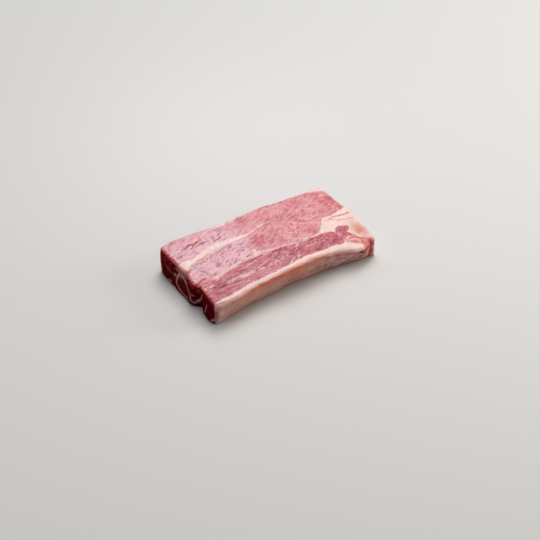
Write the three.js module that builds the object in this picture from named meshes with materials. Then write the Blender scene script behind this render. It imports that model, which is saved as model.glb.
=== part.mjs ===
import * as THREE from 'three';
import { mergeVertices } from 'three/addons/utils/BufferGeometryUtils.js';

// A raw boneless veal breast: one thick, nearly rectangular piece of meat that lies on its flat
// underside. Millimetres, +Z up. X runs along the fibres, and -Y is the side with the fat cover.
// The solid starts as a block with rounded edges. Each of its sides then takes its own uneven
// outline, and the top takes its own heights, with the fat seams and creases sunk into it.

// The plain block
const length = 202;
const width = 108;
const thickness = 29;
const edgeRadius = 3.4;
const footRadius = 1.8;

// Steps of the grid that covers the block. The last few at each end go round the edge.
const stepsAlong = 74;
const stepsAcross = 40;
const stepsUp = 9;
const stepsRoundEdge = 2;

const halfLength = length / 2;
const halfWidth = width / 2;

// A smooth line through a few points, read as a function of the first number of each
function smoothLine(...points) {
  const places = points.map(([place]) => place);
  const values = points.map(([, value]) => value);
  const line = new THREE.CubicInterpolant(places, values, 1);
  return (place) => line.evaluate(place)[0];
}

// How far each side stands out from the block at its top rim and at its foot, in millimetres.
// A place runs from -1 to 1 along the side. The belly is the bulge at half height. A tuck of 1
// leads straight from foot to rim, and a larger one turns in mostly near the foot.
const nearSide = {
  rim: smoothLine([-1, -0.5], [-0.83, 2], [-0.6, -0.5], [-0.4, -2.6], [0, -3.4],
    [0.4, -5], [0.6, -4], [0.84, 1.6], [0.93, -1], [1, -5]),
  foot: smoothLine([-1, 0.8], [-0.9, -1.5], [-0.65, -6.8], [-0.4, -9], [0, -12.6],
    [0.4, -11.6], [0.74, -8.6], [0.9, -5.8], [1, -4.8]),
  belly: 0.6,
  tuck: 2,
};
const farSide = {
  rim: smoothLine([-1, 1.6], [-0.86, 4.6], [-0.4, 3.8], [0, 4.4], [0.25, 4.4], [0.5, 3.6],
    [0.76, 3], [1, 3]),
  foot: smoothLine([-1, 0], [-0.7, 2.6], [-0.3, 0.8], [0.1, 2.2], [0.5, 0], [0.8, 0.6], [1, -2]),
  belly: 1,
  tuck: 1.4,
};
const leftEnd = {
  rim: smoothLine([-1, -0.2], [-0.8, -1], [-0.5, -1.7], [-0.36, 0.6], [-0.15, -0.8],
    [0.05, -2.2], [0.33, -2.4], [0.6, -3.2], [0.85, -2.2], [1, 0.2]),
  foot: smoothLine([-1, -2.2], [-0.87, 1.8], [-0.6, 1.4], [-0.28, 4.4], [0, 3.6], [0.3, 3.9],
    [0.44, 3], [0.56, 3.6], [0.81, 3], [1, 0.8]),
  belly: 0.6,
  tuck: 1,
};
const rightEnd = {
  rim: smoothLine([-1, 2.8], [-0.78, 4.4], [-0.4, 5.6], [-0.06, 6], [0.1, 7], [0.2, 6],
    [0.45, 5.6], [0.64, 5.2], [0.9, 4.4], [1, 3.8]),
  foot: smoothLine([-1, 4], [-0.6, 4.4], [-0.3, 3], [0, 5], [0.4, 3.6], [0.7, 4.4], [1, 2]),
  belly: 0.4,
  tuck: 1.4,
};

// The top: its height along the length, what the far rim adds, and what the near rim loses
const bodyHeight = smoothLine([-1, 28.6], [0, 29.3], [0.5, 28.8], [0.8, 26.8], [1, 25.8]);
const farRise = smoothLine([-1, 2.2], [-0.5, 0.8], [0, 0.2], [0.5, 0], [1, 0.8]);
const nearDrop = smoothLine([-1, 0.8], [-0.5, 0], [0.3, 0.3], [0.45, 2.6], [0.6, 5],
  [0.7, 6.2], [0.84, 6], [0.92, 3], [1, 0.5]);
const bevelStart = -39;
const bevelWidth = 15;

// The muscle bellies that swell the top: centre, half length, half width and height
const swells = [
  { x: -30, y: -28, along: 62, across: 9, height: 0.8 },
  { x: -62, y: 4, along: 34, across: 13, height: 0.7 },
  { x: -66, y: 41, along: 40, across: 12, height: 0.8 },
  { x: 30, y: 22, along: 60, across: 26, height: 0.8 },
  { x: 62, y: -26, along: 22, across: 8, height: 0.6 },
  { x: -93, y: -20.5, along: 8, across: 3.6, height: 1.3 },
  { x: 80, y: -22, along: 8, across: 6, height: 0.7 },
];

// The furrows in the top, each as a line of y over x, with its depth and half width.
// They fade out over fadeLength beyond each end.
const fadeLength = 7;
const furrows = [
  {
    line: smoothLine([-100, 14], [-80, 19], [-52, 25.5], [-20, 25.5], [10, 29.5], [24, 30.5]),
    from: -96, to: 16, depth: 0.7, halfWidth: 4,
  },
  {
    line: smoothLine([-88, -18], [-65, -15], [-45, -11.5], [-12, -9], [10, -11.5], [27, -15], [52, -16]),
    from: -84, to: 50, depth: 0.9, halfWidth: 3.4,
  },
  {
    line: smoothLine([-97, -31], [-75, -34], [-62, -35.5], [-50, -38], [-30, -33], [0, -30.5]),
    from: -96, to: -6, depth: 1, halfWidth: 2.6,
  },
  {
    line: smoothLine([4, -27], [14, -30], [25, -26], [43, -26]),
    from: 5, to: 40, depth: 0.9, halfWidth: 2.4,
  },
  {
    line: smoothLine([-100, -50], [-60, -46], [-20, -43], [20, -40], [58, -40], [72, -39.5]),
    from: -94, to: 66, depth: 0.7, halfWidth: 2.6,
  },
  {
    line: smoothLine([52, -15.5], [62, -7], [73, 2.5], [84, 3.5], [101, 8]),
    from: 54, to: 104, depth: 0.6, halfWidth: 3,
  },
  {
    line: smoothLine([68, -41], [80, -45], [96, -55]),
    from: 68, to: 96, depth: 1.2, halfWidth: 2.6,
  },
  {
    line: smoothLine([-90, 43], [-80, 40], [-65, 41], [-58, 46]),
    from: -86, to: -62, depth: 0.9, halfWidth: 2.4,
  },
];

// The cleft between two muscles in the left end: wide and deep at the foot, closing at the rim
const cleft = { y: -22.5, depth: 5.6, widthAtFoot: 6.5, widthAtRim: 3 };

// The folds of the flap at the near right corner, as upright clefts in the near side
const flapFolds = [
  { x: 84.5, depth: 2, halfWidth: 2.4, from: 8, to: 20 },
  { x: 95, depth: 1.6, halfWidth: 2, from: 4, to: 24 },
];
const foldFade = 4;

// A bump that is 1 at its middle and dies away over the given half width
function bump(distance, halfWidth) {
  return Math.exp(-((distance / halfWidth) ** 2));
}

// 1 between two places, fading to 0 over a given length beyond each
function between(value, from, to, fade) {
  const rising = THREE.MathUtils.smoothstep(value, from - fade, from);
  const falling = THREE.MathUtils.smoothstep(value, to, to + fade);
  return rising * (1 - falling);
}

// The slow unevenness that soft meat has all over
function unevenness(u, v) {
  return 0.35 * Math.sin(u / 13 + 0.6) * Math.sin(v / 9 + 1.1) + 0.2 * Math.sin(u / 6.2 + v / 8 + 2.1);
}

// The height of the top over a place on the block
function topHeight(x, y) {
  const place = x / halfLength;
  const towardsFar = THREE.MathUtils.smoothstep(y, 0, halfWidth);
  const downBevel = THREE.MathUtils.clamp((bevelStart - y) / bevelWidth, 0, 1) ** 1.3;
  let height = bodyHeight(place) + farRise(place) * towardsFar - nearDrop(place) * downBevel;
  for (const swell of swells) {
    height += swell.height * bump((x - swell.x) / swell.along, 1) * bump((y - swell.y) / swell.across, 1);
  }
  for (const furrow of furrows) {
    const shown = between(x, furrow.from, furrow.to, fadeLength);
    height -= shown * furrow.depth * bump(y - furrow.line(x), furrow.halfWidth);
  }
  return height + unevenness(x, y);
}

// How far a side stands out at a place along it and a share of the height
function standOut(side, place, share) {
  const risen = 1 - (1 - share) ** side.tuck;
  const leaning = THREE.MathUtils.lerp(side.foot(place), side.rim(place), risen);
  return leaning + side.belly * Math.sin(Math.PI * share);
}

// How deep the cleft in the left end is
function cleftDepth(y, share) {
  const halfWidthHere = THREE.MathUtils.lerp(cleft.widthAtFoot, cleft.widthAtRim, share);
  return cleft.depth * (1 - 0.55 * share) * bump(y - cleft.y, halfWidthHere);
}

// How deep the flap's folds are in the near side
function foldDepth(x, z) {
  const depths = flapFolds.map((fold) => (
    fold.depth * bump(x - fold.x, fold.halfWidth) * between(z, fold.from, fold.to, foldFade)
  ));
  return depths.reduce((sum, depth) => sum + depth, 0);
}

// The block with its edges rounded. The rim is rounded all round, as the upright corners are,
// and the foot turns in under the wall.
function roundedBlock(point) {
  const core = new THREE.Vector3(
    THREE.MathUtils.clamp(point.x, edgeRadius - halfLength, halfLength - edgeRadius),
    THREE.MathUtils.clamp(point.y, edgeRadius - halfWidth, halfWidth - edgeRadius),
    Math.min(point.z, thickness - edgeRadius),
  );
  const lift = Math.max(footRadius - point.z, 0);
  const tuck = footRadius - Math.sqrt(footRadius ** 2 - lift ** 2);
  const outward = point.clone().sub(core).normalize();
  return core.addScaledVector(outward, edgeRadius - tuck);
}

// The rounded block pulled out to the real sides and the real top
function meatPoint(point) {
  const block = roundedBlock(point);
  const share = block.z / thickness;
  const across = block.y / halfWidth;
  const toLeft = standOut(leftEnd, across, share) - cleftDepth(block.y, share);
  const toRight = standOut(rightEnd, across, share);
  const x = block.x + THREE.MathUtils.lerp(-toLeft, toRight, (block.x / halfLength + 1) / 2);
  const along = block.x / halfLength;
  const toNear = standOut(nearSide, along, share) - foldDepth(x, block.z);
  const toFar = standOut(farSide, along, share);
  const y = block.y + THREE.MathUtils.lerp(-toNear, toFar, (across + 1) / 2);
  return new THREE.Vector3(x, y, share * topHeight(x, y));
}

// Where a line of the grid stands: the lines near both ends share out the rounding of the edge,
// and the others are spread evenly between them
function gridLine(step, steps, half) {
  const fromEnd = Math.min(step, steps - step);
  const flat = half - edgeRadius;
  if (fromEnd < stepsRoundEdge) {
    const angle = (Math.PI / 4) * (1 - fromEnd / stepsRoundEdge);
    const reach = flat + edgeRadius * Math.tan(angle);
    return step < steps / 2 ? -reach : reach;
  }
  return THREE.MathUtils.mapLinear(step, stepsRoundEdge, steps - stepsRoundEdge, -flat, flat);
}

// Where a line of the walls stands above the foot: three steps round the foot, then even steps,
// then the rounding of the rim
const stepsRoundFoot = 3;

function gridHeight(step) {
  if (step <= stepsRoundFoot) {
    return footRadius * (1 - Math.cos((Math.PI / 2) * (step / stepsRoundFoot)));
  }
  const rimLine = stepsUp - stepsRoundEdge;
  if (step >= rimLine) {
    const angle = (Math.PI / 4) * ((step - rimLine) / stepsRoundEdge);
    return thickness - edgeRadius + edgeRadius * Math.tan(angle);
  }
  return THREE.MathUtils.mapLinear(step, stepsRoundFoot, rimLine, footRadius, thickness - edgeRadius);
}

// The top and the four walls come from a box with one grid line a unit. The underside is one
// flat sheet inside the ring where the walls meet the ground.
function meatGeometry() {
  const box = new THREE.BoxGeometry(stepsAlong, stepsAcross, stepsUp, stepsAlong, stepsAcross, stepsUp);
  const underside = box.groups[5];
  box.setIndex(Array.from(box.index.array).slice(0, underside.start));
  box.clearGroups();
  box.deleteAttribute('normal');
  box.deleteAttribute('uv');
  const skin = mergeVertices(box);
  const position = skin.attributes.position;
  const ring = [];
  const gridPoint = new THREE.Vector3();
  for (let i = 0; i < position.count; i += 1) {
    gridPoint.fromBufferAttribute(position, i);
    const step = gridPoint.clone().add(new THREE.Vector3(stepsAlong, stepsAcross, stepsUp).divideScalar(2));
    const onBlock = new THREE.Vector3(
      gridLine(step.x, stepsAlong, halfLength),
      gridLine(step.y, stepsAcross, halfWidth),
      gridHeight(step.z),
    );
    const real = meatPoint(onBlock);
    position.setXYZ(i, real.x, real.y, real.z);
    if (step.z === 0) {
      ring.push({ index: i, turn: Math.atan2(gridPoint.y / stepsAcross, gridPoint.x / stepsAlong) });
    }
  }
  ring.sort((one, other) => one.turn - other.turn);
  const outline = ring.map(({ index }) => new THREE.Vector2(position.getX(index), position.getY(index)));
  const sheet = THREE.ShapeUtils.triangulateShape(outline, []);
  const facing = sheet.flatMap(([a, b, c]) => [ring[a].index, ring[c].index, ring[b].index]);
  skin.setIndex([...skin.index.array, ...facing]);
  return skin;
}

const meat = meatGeometry();
meat.computeBoundingBox();
const middle = meat.boundingBox.getCenter(new THREE.Vector3());
meat.translate(-middle.x, -middle.y, 0);
meat.computeVertexNormals();

const vealBreast = new THREE.Mesh(
  meat,
  new THREE.MeshStandardMaterial({ color: '#d98f95', roughness: 0.45, metalness: 0 }),
);
vealBreast.name = 'veal_breast';

const group = new THREE.Group();
group.add(vealBreast);

export default group;
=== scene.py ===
import math

import bpy
import numpy as np
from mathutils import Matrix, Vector


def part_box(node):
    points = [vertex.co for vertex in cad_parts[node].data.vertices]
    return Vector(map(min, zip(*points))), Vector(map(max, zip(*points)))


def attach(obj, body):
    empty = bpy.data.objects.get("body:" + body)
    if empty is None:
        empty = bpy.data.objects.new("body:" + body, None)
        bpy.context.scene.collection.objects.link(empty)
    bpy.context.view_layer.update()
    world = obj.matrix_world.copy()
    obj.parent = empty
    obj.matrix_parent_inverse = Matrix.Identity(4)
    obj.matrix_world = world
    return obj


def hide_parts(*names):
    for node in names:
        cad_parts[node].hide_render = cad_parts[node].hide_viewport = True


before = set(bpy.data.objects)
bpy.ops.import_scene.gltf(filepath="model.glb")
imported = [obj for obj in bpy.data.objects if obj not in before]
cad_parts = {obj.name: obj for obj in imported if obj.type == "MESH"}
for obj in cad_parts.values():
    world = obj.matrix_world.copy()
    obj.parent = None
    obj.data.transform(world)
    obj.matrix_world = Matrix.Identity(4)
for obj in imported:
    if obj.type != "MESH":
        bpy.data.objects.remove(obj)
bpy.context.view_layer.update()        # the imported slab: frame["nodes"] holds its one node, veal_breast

# A raw boneless veal breast, lying on its flat underside. Sizes and places in this file are in
# millimetres, with x along the fibres, -y the side with the fat cover and z up. They are turned to
# metres where an object is made. Places on the top are read from the middle of the plain block.
mm = 0.001


# Small helpers for lines, steps and noise

def smoothLine(points, place):
    # a smooth curve through (place, value) points, held level beyond both ends
    known, value = np.array(points, float).T
    secant = np.diff(value) / np.diff(known)
    slope = np.concatenate([secant[:1], (secant[1:] + secant[:-1]) / 2, secant[-1:]])
    at = np.clip(place, known[0], known[-1])
    i = np.clip(np.searchsorted(known, at, side="right") - 1, 0, len(known) - 2)
    step = known[i + 1] - known[i]
    t = (at - known[i]) / step
    rest = 1 - t
    return (rest ** 2 * ((1 + 2 * t) * value[i] + t * step * slope[i])
            + t ** 2 * ((1 + 2 * rest) * value[i + 1] - rest * step * slope[i + 1]))


def smoothStep(value, low, high):
    t = np.clip((value - low) / (high - low), 0, 1)
    return t * t * (3 - 2 * t)


def blendTo(a, b, share):
    return a + (b - a) * share


def bump(distance, halfWidth):
    return np.exp(-(distance / halfWidth) ** 2)


def between(value, low, high, fade):
    return smoothStep(value, low - fade, low) * (1 - smoothStep(value, high, high + fade))


def strongest(*shares):
    return np.max(shares, axis=0)


def softNoise(u, v, seed):
    # smooth noise from -1 to 1 with one lump a unit
    size = 64
    lumps = np.random.default_rng(seed).uniform(-1, 1, (size, size))
    i, j = np.floor(u).astype(int), np.floor(v).astype(int)
    s, t = smoothStep(u - i, 0, 1), smoothStep(v - j, 0, 1)
    low = blendTo(lumps[i % size, j % size], lumps[(i + 1) % size, j % size], s)
    high = blendTo(lumps[i % size, (j + 1) % size], lumps[(i + 1) % size, (j + 1) % size], s)
    return blendTo(low, high, t)


def streaks(u, v, angle, along, across, seed):
    # the same noise drawn out into streaks that run at an angle to u
    c, s = math.cos(math.radians(angle)), math.sin(math.radians(angle))
    return softNoise((u * c + v * s) / along, (v * c - u * s) / across, seed)


# The slab's form, as its solid has it

slab = {
    "length": 202,
    "width": 108,
    "thickness": 29,
    "edgeRadius": 3.4,
    "footRadius": 1.8,
    "gridStep": 0.8,      # spacing of the mesh's points
    "edgeSteps": 4,       # rows of points from the flat to the middle of a rounded edge
    "footSteps": 4,
}

# How far each side stands out from the block at its rim and its foot, for places -1 to 1 along it,
# how far its middle swells, and how soon above the foot it comes out
sides = {
    "near": {
        "rim": [(-1, -0.5), (-0.83, 2), (-0.6, -0.5), (-0.4, -2.6), (0, -3.4),
                (0.4, -5), (0.6, -4), (0.84, 1.6), (0.93, -1), (1, -5)],
        "foot": [(-1, 0.8), (-0.9, -1.5), (-0.65, -6.8), (-0.4, -9), (0, -12.6),
                 (0.4, -11.6), (0.74, -8.6), (0.9, -5.8), (1, -4.8)],
        "belly": 0.6, "tuck": 2,
    },
    "far": {
        "rim": [(-1, 1.6), (-0.86, 4.6), (-0.4, 3.8), (0, 4.4), (0.25, 4.4), (0.5, 3.6),
                (0.76, 3), (1, 3)],
        "foot": [(-1, 0), (-0.7, 2.6), (-0.3, 0.8), (0.1, 2.2), (0.5, 0), (0.8, 0.6), (1, -2)],
        "belly": 1, "tuck": 1.4,
    },
    "left": {
        "rim": [(-1, -0.2), (-0.8, -1), (-0.5, -1.7), (-0.36, 0.6), (-0.15, -0.8),
                (0.05, -2.2), (0.33, -2.4), (0.6, -3.2), (0.85, -2.2), (1, 0.2)],
        "foot": [(-1, -2.2), (-0.87, 1.8), (-0.6, 1.4), (-0.28, 4.4), (0, 3.6), (0.3, 3.9),
                 (0.44, 3), (0.56, 3.6), (0.81, 3), (1, 0.8)],
        "belly": 0.6, "tuck": 1,
    },
    "right": {
        "rim": [(-1, 2.8), (-0.78, 4.4), (-0.4, 5.6), (-0.06, 6), (0.1, 7), (0.2, 6),
                (0.45, 5.6), (0.64, 5.2), (0.9, 4.4), (1, 3.8)],
        "foot": [(-1, 4), (-0.6, 4.4), (-0.3, 3), (0, 5), (0.4, 3.6), (0.7, 4.4), (1, 2)],
        "belly": 0.4, "tuck": 1.4,
    },
}

# The top's height for places -1 to 1 along it, what it rises toward the far rim, and what it drops
# over the bevel along the near one
top = {
    "body": [(-1, 28.6), (0, 29.3), (0.5, 28.8), (0.8, 26.8), (1, 25.8)],
    "farRise": [(-1, 2.2), (-0.5, 0.8), (0, 0.2), (0.5, 0), (1, 0.8)],
    "nearDrop": [(-1, 0.8), (-0.5, 0), (0.3, 0.3), (0.45, 2.6), (0.6, 5),
                 (0.7, 6.2), (0.84, 6), (0.92, 3), (1, 0.5)],
    "bevelStart": -39,
    "bevelWidth": 15,
}

# Muscle bellies that swell the top: x, y, half length, half width, height
swells = [(-30, -28, 62, 9, 0.8), (-62, 4, 34, 13, 0.7), (-66, 41, 40, 12, 0.8), (30, 22, 60, 26, 0.8),
          (62, -26, 22, 8, 0.6), (-93, -20.5, 8, 3.6, 1.3), (80, -22, 8, 6, 0.7)]

# Furrows in the top: the line they follow, where they start and end, depth and half width
furrows = [
    ([(-100, 14), (-80, 19), (-52, 25.5), (-20, 25.5), (10, 29.5), (24, 30.5)], -96, 16, 0.7, 4),
    ([(-88, -18), (-65, -15), (-45, -11.5), (-12, -9), (10, -11.5), (27, -15), (52, -16)],
     -84, 50, 0.9, 3.4),
    ([(-97, -31), (-75, -34), (-62, -35.5), (-50, -38), (-30, -33), (0, -30.5)], -96, -6, 1, 2.6),
    ([(4, -27), (14, -30), (25, -26), (43, -26)], 5, 40, 0.9, 2.4),
    ([(-100, -50), (-60, -46), (-20, -43), (20, -40), (58, -40), (72, -39.5)], -94, 66, 0.7, 2.6),
    ([(52, -15.5), (62, -7), (73, 2.5), (84, 3.5), (101, 8)], 54, 104, 0.6, 3),
    ([(68, -41), (80, -45), (96, -55)], 68, 96, 1.2, 2.6),
    ([(-90, 43), (-80, 40), (-65, 41), (-58, 46)], -86, -62, 0.9, 2.4),
]
furrowFade = 7       # the run over which a furrow begins and ends

# The upright groove in the left end
cleft = {"y": -22.5, "depth": 5.6, "widthAtFoot": 6.5, "widthAtRim": 3}

# Upright folds of the flap at the near right corner: x, depth, half width, from and to in z
flapFolds = [(84.5, 2, 2.4, 8, 20), (95, 1.6, 2, 4, 24)]

halfLength, halfWidth = slab["length"] / 2, slab["width"] / 2


def topHeight(x, y):
    place = x / halfLength
    downBevel = np.clip((top["bevelStart"] - y) / top["bevelWidth"], 0, 1) ** 1.3
    height = smoothLine(top["body"], place)
    height = height + smoothLine(top["farRise"], place) * smoothStep(y, 0, halfWidth)
    height = height - smoothLine(top["nearDrop"], place) * downBevel
    for sx, sy, along, across, rise in swells:
        height = height + rise * bump(x - sx, along) * bump(y - sy, across)
    for line, start, end, depth, halfWide in furrows:
        shown = between(x, start, end, furrowFade)
        height = height - shown * depth * bump(y - smoothLine(line, x), halfWide)
    # and it rolls softly all over
    slow = 0.35 * np.sin(x / 13 + 0.6) * np.sin(y / 9 + 1.1) + 0.2 * np.sin(x / 6.2 + y / 8 + 2.1)
    return height + slow


def standOut(side, place, share):
    risen = 1 - (1 - share) ** side["tuck"]
    leaning = blendTo(smoothLine(side["foot"], place), smoothLine(side["rim"], place), risen)
    return leaning + side["belly"] * np.sin(math.pi * share)


def gridLines(half):
    # lines over the flat of a side, closing up where the edge turns
    radius, turns = slab["edgeRadius"], slab["edgeSteps"]
    flat = half - radius
    count = round(2 * flat / slab["gridStep"])
    angle = np.linspace(0, math.pi / 4, turns + 1)[1:]
    edge = flat + radius * np.tan(angle)
    return np.concatenate([-edge[::-1], np.linspace(-flat, flat, count + 1), edge])


def gridHeights():
    foot = slab["footRadius"] * (1 - np.cos(np.linspace(0, math.pi / 2, slab["footSteps"] + 1)))
    flatTop = slab["thickness"] - slab["edgeRadius"]
    count = round((flatTop - slab["footRadius"]) / slab["gridStep"])
    wall = np.linspace(slab["footRadius"], flatTop, count + 1)[1:]
    rim = flatTop + slab["edgeRadius"] * np.tan(np.linspace(0, math.pi / 4, slab["edgeSteps"] + 1)[1:])
    return np.concatenate([foot, wall, rim])


def blockSkin():
    # the points and faces of the plain block's six sides, with shared points at the edges
    xs, ys, zs = gridLines(halfLength), gridLines(halfWidth), gridHeights()
    nx, ny, nz = len(xs), len(ys), len(zs)
    shell = np.zeros((nx, ny, nz), bool)
    shell[[0, -1]] = shell[:, [0, -1]] = shell[:, :, [0, -1]] = True
    number = np.cumsum(shell.ravel()).reshape(shell.shape) - 1
    i, j, k = np.nonzero(shell)
    points = np.stack([xs[i], ys[j], zs[k]], axis=1)
    faces = []
    for sheet, turned in ((number[:, :, -1], False), (number[:, :, 0], True), (number[0], True),
                          (number[-1], False), (number[:, 0], False), (number[:, -1], True)):
        quads = np.stack([sheet[:-1, :-1], sheet[1:, :-1], sheet[1:, 1:], sheet[:-1, 1:]], axis=-1)
        quads = quads.reshape(-1, 4)
        faces.append(quads[:, ::-1] if turned else quads)
    return points, np.concatenate(faces)


def meatForm(points):
    # rounds the block, then pulls it out to the real sides and the real top
    radius, foot = slab["edgeRadius"], slab["footRadius"]
    core = np.stack([
        np.clip(points[:, 0], radius - halfLength, halfLength - radius),
        np.clip(points[:, 1], radius - halfWidth, halfWidth - radius),
        np.minimum(points[:, 2], slab["thickness"] - radius),
    ], axis=1)
    arm = points - core
    outward = arm / np.maximum(np.linalg.norm(arm, axis=1, keepdims=True), 1e-9)
    lift = np.maximum(foot - points[:, 2], 0)
    onFoot = points[:, 2] == 0
    reach = radius - foot + np.sqrt(foot ** 2 - lift ** 2)
    reach[onFoot] = np.abs(arm[onFoot]).max(axis=1) * (1 - foot / radius)
    block = core + outward * reach[:, None]
    share, across = block[:, 2] / slab["thickness"], block[:, 1] / halfWidth
    cleftWidth = blendTo(cleft["widthAtFoot"], cleft["widthAtRim"], share)
    cleftIn = cleft["depth"] * (1 - 0.55 * share) * bump(block[:, 1] - cleft["y"], cleftWidth)
    toLeft = standOut(sides["left"], across, share) - cleftIn
    toRight = standOut(sides["right"], across, share)
    x = block[:, 0] + blendTo(-toLeft, toRight, (block[:, 0] / halfLength + 1) / 2)
    along = block[:, 0] / halfLength
    foldIn = sum(depth * bump(x - at, wide) * between(block[:, 2], low, high, 4)
                 for at, depth, wide, low, high in flapFolds)
    toNear = standOut(sides["near"], along, share) - foldIn
    toFar = standOut(sides["far"], along, share)
    y = block[:, 1] + blendTo(-toNear, toFar, (across + 1) / 2)
    outward[onFoot & (reach < radius - foot)] = (0, 0, -1)
    return np.stack([x, y, share * topHeight(x, y)], axis=1), outward


# What shows on the top: ribbons of fat as (x, y, half width), and edges of wider areas

fatRibbons = {
    "upperSeam": [(-101, 13, 8), (-95, 15, 6.5), (-90, 16, 4.8), (-85, 17.5, 3.8), (-80, 18.5, 3.2),
                  (-70, 21, 3.5), (-60.5, 23.5, 4), (-50.5, 25.5, 4.4), (-40.5, 25.5, 4.1),
                  (-30.5, 25, 3.1), (-20.5, 24, 2.8), (-11.5, 24.5, 2), (-7.5, 25.5, 1.2),
                  (-2.5, 27, 0.9), (9.5, 30, 0.9), (23, 30.5, 0.4)],
    "farStrip": [(-62.5, 44.5, 0.4), (-56.5, 46.5, 0.6), (-51.5, 49.5, 0.9), (-46.5, 51.5, 1.3),
                 (-33.5, 54, 2.3), (-15.5, 55, 2.3), (3.5, 56.5, 1.2), (20, 57.5, 0.6)],
    "farCorner": [(64, 56, 0.4), (81, 56, 1.4), (92.5, 54.5, 2.4), (100.5, 52, 3.6), (105.5, 51, 4)],
    "middleSeam": [(-86, -16, 0.3), (-82, -17, 1.6), (-78, -18, 2.7), (-74, -18, 2.5), (-68, -16.5, 1.5),
                   (-60, -14, 0.8), (-50, -12, 0.6), (-37, -11, 0.4), (-30, -10.5, 0.7),
                   (-25, -10, 1), (-20, -9, 1.5), (-15, -8.5, 1.5), (-10, -9.5, 1.2), (0, -11, 0.9),
                   (10, -12, 0.7), (20, -14, 0.9), (29, -16, 1.1), (34, -15, 1.4), (38, -15.5, 1.2),
                   (46, -16, 0.8), (54, -15.5, 1.1)],
    "middleFan": [(-20, -2, 1.6), (-19, -6, 2.4), (-15, -9, 2)],
    "lowerSeamStart": [(-98, -28, 0.4), (-90, -28.5, 0.5), (-84, -28.5, 0.3)],
    "lowerSeam": [(-72, -32.5, 0.5), (-60, -32, 1), (-55, -32.5, 1.6), (-50, -33, 1.8),
                  (-46, -32.5, 1.4), (-41, -32, 0.8), (-35, -32, 0.5), (-22, -32.5, 0.7),
                  (-8, -31, 0.7), (4, -29.5, 0.5)],
    "branchUp": [(27, -17.5, 0.5), (24, -18.5, 0.6), (21.5, -21.5, 0.6), (17, -27.5, 0.4)],
    "branchDown": [(18, -29, 0.6), (16, -32.5, 0.7), (14, -36.5, 0.8), (12, -40.5, 0.9)],
    "branchRight": [(31, -26.5, 0.5), (35, -28, 0.7), (40, -27, 0.7), (43, -25.5, 0.5)],
    "branchLeft": [(9, -35, 0.4), (5, -38, 0.6), (1, -40.5, 0.7)],
    "tailBorder": [(84, -28, 0.8), (88.6, -32.8, 1), (90, -38.6, 1.1), (95, -41.4, 1.3),
                   (101.9, -46.4, 1.6)],
}

# How sharply the fat ends, against a plain seam's soft edge
crispness = {"cover": 2, "upperSeam": 1.6, "farStrip": 0.7, "farCorner": 0.7, "tailBorder": 1.6,
             "branchUp": 1, "branchDown": 1.1, "middleFan": 0.5, "middleSeam": 0.6, "lowerSeam": 0.6}

# The top edge of the fat cover, and the lower edge of the big muscle where the right fat begins
coverEdge = [(-103.5, -51.5), (-89.5, -50.5), (-79.5, -50), (-70, -48), (-60, -46.5), (-50, -45.5),
             (-30, -44.3), (-10.5, -43), (10, -41), (20, -40), (40, -41), (56, -40)]
rightFatEdge = [(46, -15.5), (52, -14), (56.5, -12), (60.5, -8.5), (65, -3.5), (68.5, 1), (73, 5.5),
                (76.5, 7), (81.5, 5.8), (86, 5.8), (93, 8.5), (100, 10), (108, 11)]

# The end of the lower muscle, with its lobe and the tail under it
lobeOutline = [(30, -17), (42, -17.5), (52, -17), (60.5, -18), (68, -19.5), (70.5, -21.5), (72, -21),
               (73, -18.5), (75.5, -16.5), (78.5, -14.5), (81.5, -14.5), (85.5, -16.5), (89, -18),
               (89.5, -19.5), (88.5, -22.5), (82.5, -28), (84.2, -31), (86.2, -34.4), (87.6, -38.2),
               (86.8, -39.2), (84, -38), (81.5, -36), (78.5, -34), (75.5, -35.5), (73, -38),
               (70, -40), (67, -41), (63, -41.5), (59.5, -40.5), (55.5, -40), (48, -41), (30, -40.5)]

# The red flap that folds over the near right corner, on the top and in x and z on the near side,
# with the slivers of fat in it, the dark line along its upper edge and the slot beside it, which is
# painted dark as shade. Its body slopes from the top far down the near side: it comes in and goes out
# over two ranges of x, and its upper and lower edge are in y and z.
flapOutline = [(71.5, -38.9), (77, -37.4), (80.5, -36.2), (84, -36.2), (87.4, -38.9), (90, -41.6),
               (93, -43.5), (96.8, -46.3), (101.5, -48.6), (101.5, -63), (85, -63), (86, -54), (87.8, -50.5),
               (88, -48), (84.5, -46.4), (79.5, -44.3), (73.5, -41.6)]
flapSlivers = [
    [(74, -40.2, 0.2), (76, -40.7, 0.6), (78, -41.2, 0.2)],
    [(79.6, -41.5, 0.2), (82, -42.3, 0.6), (84.4, -43.5, 0.5), (86, -44.6, 0.1)],
]
flapTop = [(72, -39.6, 0), (79, -38.2, 0.4), (84, -39, 1.2), (87.5, -41.2, 1.2), (92, -43.8, 0.4),
           (96, -46.2, 0)]
flapSlot = [(97.8, -48.6, -0.3), (97.6, -50.5, 0.1), (97.4, -56, 0.6)]
flapSlope = {"from": (84, 88.5), "to": (95.8, 98), "upper": (-44.8, 25.8), "lower": (-52, 19.2),
             "softness": 1.5}
cornerOutline = [(83, 19.6), (86.4, 21), (88, 22), (88, 31), (102, 31), (103, 24), (103, 10), (102, -2),
                 (93.5, -2), (91, 5), (89.3, 9), (88, 13), (85.5, 14.8), (83, 17.5)]
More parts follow.
